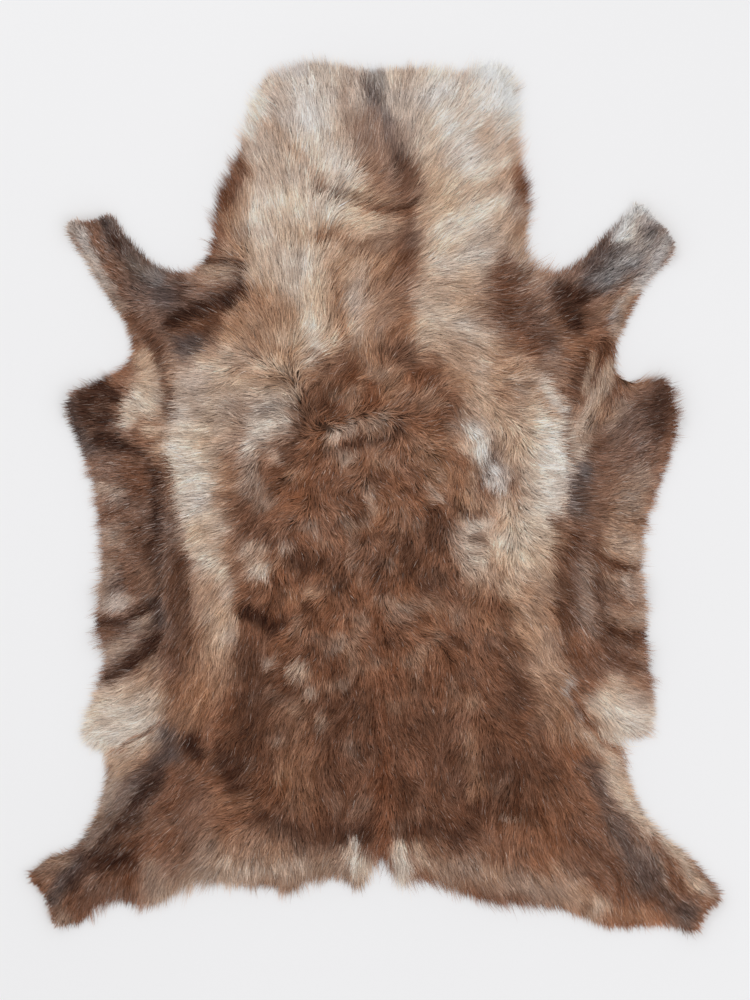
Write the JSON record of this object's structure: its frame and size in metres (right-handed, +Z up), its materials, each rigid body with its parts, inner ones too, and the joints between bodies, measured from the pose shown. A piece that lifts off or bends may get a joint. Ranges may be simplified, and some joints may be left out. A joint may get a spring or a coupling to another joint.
{
  "type": "reindeer hide",
  "caption": "Whole tanned reindeer hide spread flat, hair side up, with neck, legs, belly flaps and tail tufts.",
  "frame": {"origin": "on the floor, under the middle of the hide's bounding box", "axes": "+X across the hide to the right, seen from above with the neck away; +Y along the back from tail to neck; +Z up, out of the hair side"},
  "size_m": [0.98, 1.222, 0.0338],
  "materials": {
    "coat": "dense laid reindeer hair in brown, sand, cream and slate, matt with a faint sheen",
    "skin": "tanned pale suede on the bare underside, matt with a fine nap"
  },
  "bodies": {
    "root": {"hide": "coat"}
  },
  "joints": []
}
